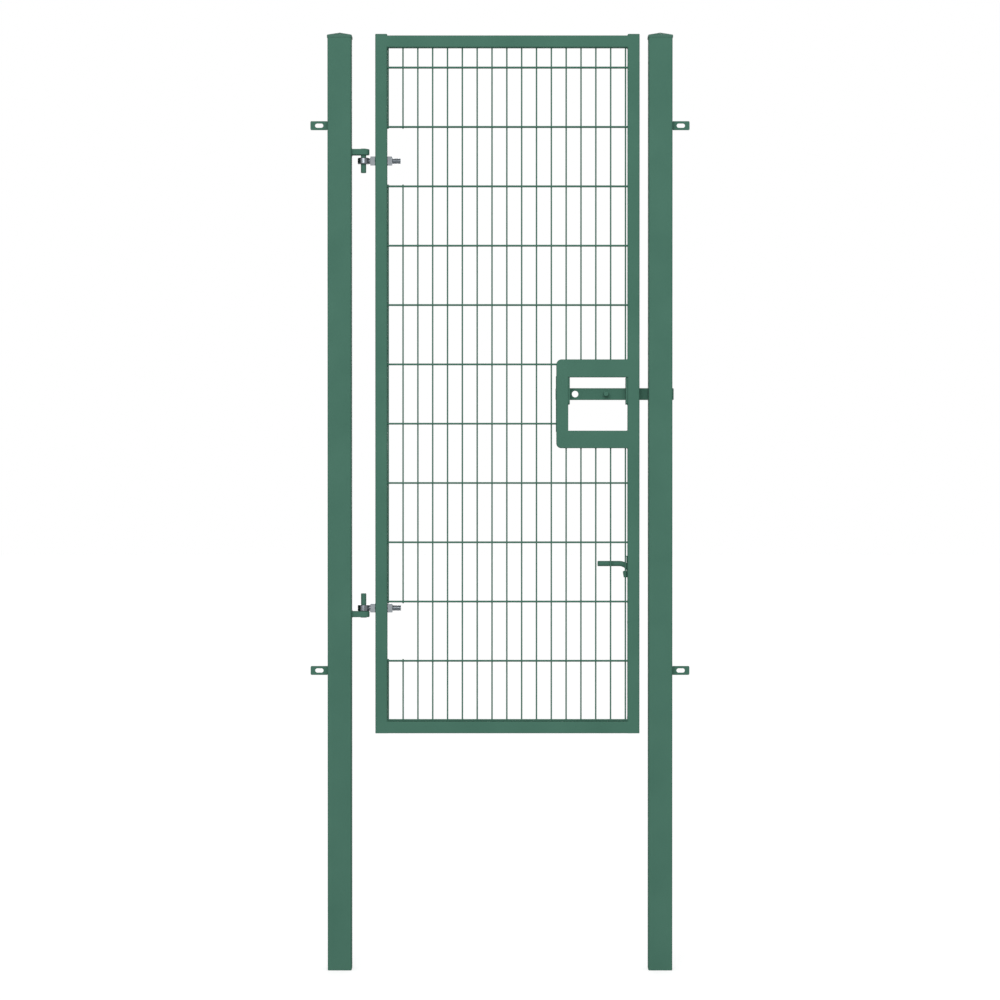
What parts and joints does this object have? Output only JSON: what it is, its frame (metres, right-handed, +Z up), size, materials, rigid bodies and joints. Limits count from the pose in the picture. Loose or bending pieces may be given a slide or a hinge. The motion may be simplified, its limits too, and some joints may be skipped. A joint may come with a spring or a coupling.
{
  "type": "twin wire mesh gate",
  "caption": "Single-leaf gate of welded twin wire mesh in a square tube frame, hung between square posts on eye bolts, with a slide bar latch and a drop bolt.",
  "frame": {"origin": "on the foot of the hinge post, in the middle of its outer wall, 0.75 m below the ground line", "axes": "+X from the hinge post to the latch post, +Y from the front to the back, where the slide bar and the drop bolt are, +Z up"},
  "size_m": [1.278, 0.1036, 3.1583],
  "materials": {
    "moss_green_powder_coat": "satin powder coat over galvanised steel",
    "zinc_plated_steel": "bright zinc plate",
    "green_plastic": "moulded, satin"
  },
  "bodies": {
    "posts": {"hinge_post": "moss_green_powder_coat", "latch_post": "moss_green_powder_coat", "hinge_post_cap": "green_plastic", "latch_post_cap": "green_plastic", "fence_lug_hinge_upper": "moss_green_powder_coat", "fence_lug_hinge_lower": "moss_green_powder_coat", "fence_lug_latch_upper": "moss_green_powder_coat", "fence_lug_latch_lower": "moss_green_powder_coat", "hinge_arm_upper": "moss_green_powder_coat", "hinge_arm_lower": "moss_green_powder_coat", "hinge_pin_upper": "moss_green_powder_coat", "hinge_pin_lower": "moss_green_powder_coat"},
    "leaf": {"hinge_stile": "moss_green_powder_coat", "latch_stile": "moss_green_powder_coat", "top_rail": "moss_green_powder_coat", "bottom_rail": "moss_green_powder_coat", "hinge_stile_cap": "green_plastic", "latch_stile_cap": "green_plastic", "mesh_main": "moss_green_powder_coat", "mesh_above_latch": "moss_green_powder_coat", "mesh_below_latch": "moss_green_powder_coat", "eye_bolt_upper": "zinc_plated_steel", "eye_bolt_lower": "zinc_plated_steel", "hinge_nut_upper_outer": "zinc_plated_steel", "hinge_nut_upper_inner": "zinc_plated_steel", "hinge_nut_lower_outer": "zinc_plated_steel", "hinge_nut_lower_inner": "zinc_plated_steel", "latch_surround": "moss_green_powder_coat", "surround_side_strip": "moss_green_powder_coat", "bar_guide_left": "moss_green_powder_coat", "bar_guide_right": "moss_green_powder_coat", "drop_guide_upper": "moss_green_powder_coat", "drop_guide_lower": "moss_green_powder_coat", "drop_bolt_keep": "moss_green_powder_coat"},
    "latch_bar": {"slide_bar": "moss_green_powder_coat", "slide_knob": "moss_green_powder_coat"},
    "drop_rod": {"drop_bolt": "moss_green_powder_coat"}
  },
  "joints": [
    {"name": "gate_swing", "type": "hinge", "parent": "posts", "child": "leaf", "pos_m": [0.1185, 0, 1.22], "axis": [0, 0, 1], "range_deg": [0, 105]},
    {"name": "latch_slide", "type": "slide", "parent": "leaf", "child": "latch_bar", "axis": [-1, 0, 0], "range_m": [0, 0.109]},
    {"name": "drop_bolt_slide", "type": "slide", "parent": "leaf", "child": "drop_rod", "axis": [0, 0, -1], "range_m": [0, 0.15]}
  ]
}
